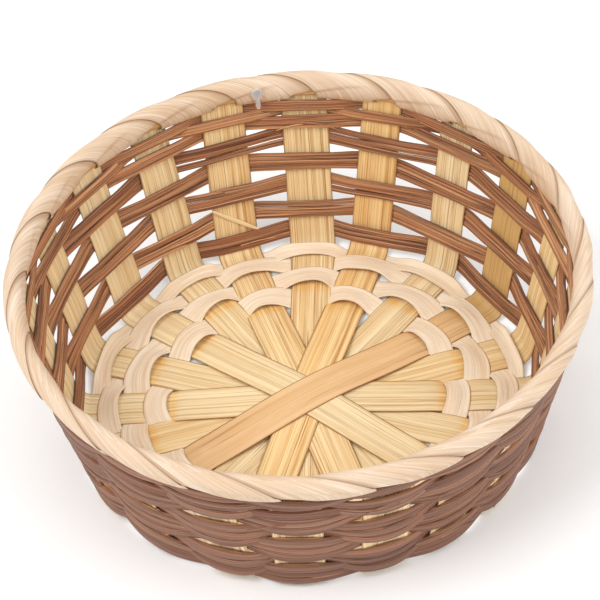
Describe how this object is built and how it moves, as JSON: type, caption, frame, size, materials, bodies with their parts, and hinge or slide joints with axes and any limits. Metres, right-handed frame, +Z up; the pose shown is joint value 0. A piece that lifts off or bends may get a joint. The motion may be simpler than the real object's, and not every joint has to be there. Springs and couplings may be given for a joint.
{
  "type": "woven basket",
  "caption": "Shallow round woven basket with flat bamboo stakes, a chip-ring base, brown split-cane walls and a lashed rim, for holding bread, fruit or small goods.",
  "frame": {"origin": "centre of the footprint on the resting surface", "axes": "+Z up through the middle of the basket, +X along stake 11 and -X along stake 1"},
  "size_m": [0.1998, 0.1998, 0.0717],
  "materials": {
    "bamboo": "satin, long straight fibre grain",
    "tan_bamboo": "smooth skin side, satin",
    "chip": "matt shaved chip",
    "brown_cane": "split cane, bark side dull, split side satin",
    "rim_chip": "matt shaved chip",
    "clear_plastic": "clear"
  },
  "bodies": {
    "root": {"splint_01": "bamboo", "splint_02": "bamboo", "splint_03": "bamboo", "splint_04": "bamboo", "splint_05": "bamboo", "splint_06": "bamboo", "splint_07": "bamboo", "splint_08": "bamboo", "splint_09": "tan_bamboo", "splint_10": "bamboo", "base_ring_1": "chip", "base_ring_2": "chip", "base_ring_3": "chip", "base_ring_4": "chip", "wall_row_1_strand_1": "brown_cane", "wall_row_1_strand_2": "brown_cane", "wall_row_1_strand_3": "brown_cane", "wall_row_2_strand_1": "brown_cane", "wall_row_2_strand_2": "brown_cane", "wall_row_2_strand_3": "brown_cane", "wall_row_3_strand_1": "brown_cane", "wall_row_3_strand_2": "brown_cane", "wall_row_3_strand_3": "brown_cane", "wall_row_4_strand_1": "brown_cane", "wall_row_4_strand_2": "brown_cane", "wall_row_4_strand_3": "brown_cane", "wall_row_5_strand_1": "brown_cane", "wall_row_5_strand_2": "brown_cane", "wall_row_5_strand_3": "brown_cane", "wall_row_6_strand_1": "brown_cane", "wall_row_6_strand_2": "brown_cane", "wall_row_7_strand_1": "brown_cane", "wall_row_8_strand_1": "brown_cane", "rim_inner_hoop": "bamboo", "rim_outer_hoop": "bamboo", "rim_wrap": "rim_chip", "tag_fastener": "clear_plastic"}
  },
  "joints": []
}
